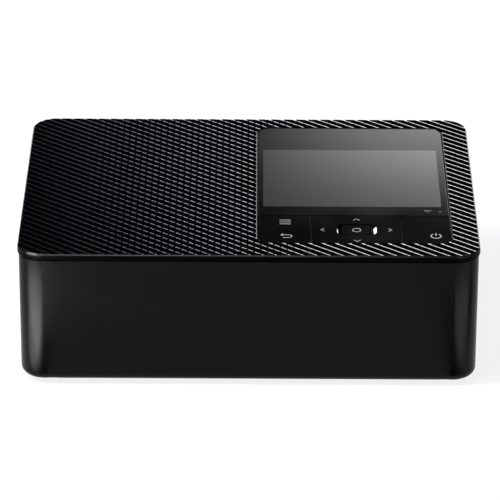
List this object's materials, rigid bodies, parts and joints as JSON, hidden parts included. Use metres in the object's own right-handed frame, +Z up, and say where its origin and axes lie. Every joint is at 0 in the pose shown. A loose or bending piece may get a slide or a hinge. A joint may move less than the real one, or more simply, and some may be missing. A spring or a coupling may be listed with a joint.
{
  "type": "compact photo printer",
  "caption": "Compact dye-sublimation photo printer: flat case with a textured cover, an inset control panel with a display, a front paper door, a side ink door and its paper drive.",
  "frame": {"origin": "on the surface it stands on, under the middle of the case's width and depth", "axes": "+X to the right seen from the front, +Y to the back, +Z up; the front door faces -Y"},
  "size_m": [0.1822, 0.133, 0.0576],
  "materials": {
    "cover_plastic": "glossy black moulding with a pressed diamond pattern",
    "shell_plastic": "satin black moulding",
    "base_plastic": "plain matt black moulding",
    "door_plastic": "satin black moulding",
    "feet_rubber": "plain matt rubber",
    "inner_plastic": "fine spark-eroded matt",
    "panel_glass": "tinted acrylic, flat and glossy",
    "display": "dark display stack in a thin metal frame",
    "keys_plastic": "high gloss black",
    "domes_steel": "thin spring steel",
    "collar_rubber": "soft grey silicone",
    "board": "green solder mask on glass laminate",
    "flex": "amber film with printed tracks",
    "plated_steel": "bright plated steel",
    "jack_plastic": "moulded nylon",
    "sheet_steel": "zinc coated sheet, bent",
    "bronze": "sintered bronze",
    "acetal": "natural white acetal",
    "pinion_brass": "machined brass",
    "roller_rubber": "ground rubber",
    "motor_steel": "drawn, plated can",
    "spool_plastic": "moulded core with wound film",
    "film_colour": "moulded core with wound dye film",
    "cassette_plastic": "grey moulding",
    "film": "thin dye film",
    "sink_aluminium": "extruded, plain",
    "ceramic": "glazed white ceramic"
  },
  "bodies": {
    "case": {"top_cover": "cover_plastic", "side_shell": "shell_plastic", "base_plate": "base_plastic", "rubber_feet": "feet_rubber", "front_inner_panel": "inner_plastic", "panel_frame": "inner_plastic", "lcd_glass": "panel_glass", "lcd_module": "display", "key_board": "board", "dome_switches": "domes_steel", "main_board": "board", "display_flex": "flex", "card_board": "board", "card_socket": "plated_steel", "usb_socket": "plated_steel", "power_board": "board", "dc_jack": "jack_plastic", "left_side_plate": "sheet_steel", "right_side_plate": "sheet_steel", "top_tie": "sheet_steel", "paper_guide": "inner_plastic", "motor_bracket": "sheet_steel", "shaft_bushes": "bronze", "drive_motor": "motor_steel", "small_motors": "motor_steel", "ink_cassette": "cassette_plastic", "ink_ribbon": "film", "case_screws": "plated_steel", "small_screws": "plated_steel"},
    "front_door_body": {"front_door": "door_plastic", "front_door_pins": "plated_steel"},
    "ink_door_body": {"ink_door": "door_plastic", "ink_door_pins": "plated_steel"},
    "left_key_body": {"left_key": "keys_plastic"},
    "pad_collar_body": {"pad_collar": "collar_rubber"},
    "direction_pad_body": {"direction_pad": "keys_plastic"},
    "centre_key_body": {"centre_key": "keys_plastic"},
    "power_key_body": {"power_key": "keys_plastic"},
    "capstan_body": {"capstan_roller": "plated_steel", "capstan_gear": "acetal"},
    "pinch_body": {"pinch_roller": "plated_steel"},
    "pickup_body": {"pickup_shaft": "plated_steel", "pickup_roller": "roller_rubber", "pickup_gear": "acetal"},
    "platen_body": {"platen_shaft": "plated_steel", "platen_roller": "roller_rubber", "platen_gear": "acetal"},
    "idler_body": {"idler_gear": "acetal"},
    "motor_pinion_body": {"motor_pinion": "pinion_brass"},
    "takeup_body": {"ribbon_gear": "acetal", "takeup_spool": "spool_plastic"},
    "supply_body": {"supply_spool": "film_colour"},
    "ribbon_pinion_body": {"ribbon_pinion": "acetal"},
    "head_body": {"head_bracket": "sheet_steel", "head_pivot_shaft": "plated_steel", "heat_sink": "sink_aluminium", "thermal_head": "ceramic"},
    "head_pinion_body": {"head_pinion": "acetal"},
    "cam_body": {"cam_gear": "acetal"},
    "ink_lever_body": {"ink_lever": "sheet_steel"}
  },
  "joints": [
    {"name": "front_door_hinge", "type": "hinge", "parent": "case", "child": "front_door_body", "pos_m": [0, -0.0625, 0.0051], "axis": [1, 0, 0], "range_deg": [0, 90]},
    {"name": "ink_door_hinge", "type": "hinge", "parent": "case", "child": "ink_door_body", "pos_m": [0.0882, 0.0568, 0.0295], "axis": [0, 0, 1], "range_deg": [0, 90]},
    {"name": "left_key_rock", "type": "hinge", "parent": "case", "child": "left_key_body", "pos_m": [0.01413, -0.0416, 0.0534], "axis": [1, 0, 0], "range_deg": [-1.2, 1.2], "stiffness_Nm_per_rad": 1},
    {"name": "pad_tilt_left_right", "type": "hinge", "parent": "case", "child": "pad_collar_body", "pos_m": [0.04265, -0.0416, 0.0543], "axis": [0, 1, 0], "range_deg": [-1.2, 1.2], "stiffness_Nm_per_rad": 1},
    {"name": "pad_tilt_front_back", "type": "hinge", "parent": "pad_collar_body", "child": "direction_pad_body", "pos_m": [0.04265, -0.0416, 0.0543], "axis": [1, 0, 0], "range_deg": [-1.2, 1.2], "stiffness_Nm_per_rad": 1},
    {"name": "centre_key_press", "type": "slide", "parent": "case", "child": "centre_key_body", "axis": [0, 0, -1], "range_m": [0, 0.0006], "stiffness_N_per_m": 300},
    {"name": "power_key_press", "type": "slide", "parent": "case", "child": "power_key_body", "axis": [0, 0, -1], "range_m": [0, 0.0006], "stiffness_N_per_m": 300},
    {"name": "capstan_spin", "type": "hinge", "parent": "case", "child": "capstan_body", "pos_m": [0.008, -0.008, 0.021], "axis": [1, 0, 0], "continuous": true},
    {"name": "pinch_spin", "type": "hinge", "parent": "case", "child": "pinch_body", "pos_m": [0.008, -0.008, 0.0292], "axis": [1, 0, 0], "continuous": true},
    {"name": "pickup_spin", "type": "hinge", "parent": "case", "child": "pickup_body", "pos_m": [0.008, -0.022, 0.03231], "axis": [1, 0, 0], "continuous": true},
    {"name": "platen_spin", "type": "hinge", "parent": "case", "child": "platen_body", "pos_m": [0.008, 0.02794, 0.019], "axis": [1, 0, 0], "continuous": true},
    {"name": "idler_spin", "type": "hinge", "parent": "case", "child": "idler_body", "pos_m": [-0.0544, 0.00798, 0.02011], "axis": [1, 0, 0], "continuous": true},
    {"name": "motor_pinion_spin", "type": "hinge", "parent": "case", "child": "motor_pinion_body", "pos_m": [-0.0584, -0.0272, 0.021], "axis": [1, 0, 0], "continuous": true},
    {"name": "takeup_spin", "type": "hinge", "parent": "case", "child": "takeup_body", "pos_m": [-0.0584, 0.044, 0.0367], "axis": [1, 0, 0], "continuous": true},
    {"name": "ribbon_pinion_spin", "type": "hinge", "parent": "case", "child": "ribbon_pinion_body", "pos_m": [-0.0584, 0.0296, 0.0427], "axis": [1, 0, 0], "continuous": true},
    {"name": "supply_spin", "type": "hinge", "parent": "case", "child": "supply_body", "pos_m": [0.008, 0.012, 0.0367], "axis": [1, 0, 0], "continuous": true},
    {"name": "cam_turn", "type": "hinge", "parent": "case", "child": "cam_body", "pos_m": [-0.0584, 0.017, 0.04], "axis": [1, 0, 0], "range_deg": [-150, 0]},
    {"name": "head_lift", "type": "hinge", "parent": "case", "child": "head_body", "pos_m": [0.008, -0.005, 0.044], "axis": [1, 0, 0], "range_deg": [-3, 0]},
    {"name": "head_pinion_spin", "type": "hinge", "parent": "case", "child": "head_pinion_body", "pos_m": [-0.0544, 0.004, 0.0423], "axis": [1, 0, 0], "range_deg": [0, 400]},
    {"name": "ink_lever_turn", "type": "hinge", "parent": "case", "child": "ink_lever_body", "pos_m": [0.0695, 0.004, 0.036], "axis": [0, 0, -1], "range_deg": [0, 20], "stiffness_Nm_per_rad": 0.05}
  ],
  "couplings": [
    {"joint": "pinch_spin", "follows": "capstan_spin", "ratio": -1},
    {"joint": "pickup_spin", "follows": "capstan_spin", "ratio": -0.8},
    {"joint": "platen_spin", "follows": "capstan_spin", "ratio": 0.66667},
    {"joint": "idler_spin", "follows": "capstan_spin", "ratio": -1},
    {"joint": "motor_pinion_spin", "follows": "capstan_spin", "ratio": -3},
    {"joint": "ribbon_pinion_spin", "follows": "takeup_spin", "ratio": -3.3333},
    {"joint": "cam_turn", "follows": "head_lift", "ratio": 50},
    {"joint": "head_pinion_spin", "follows": "head_lift", "ratio": -133.33}
  ]
}
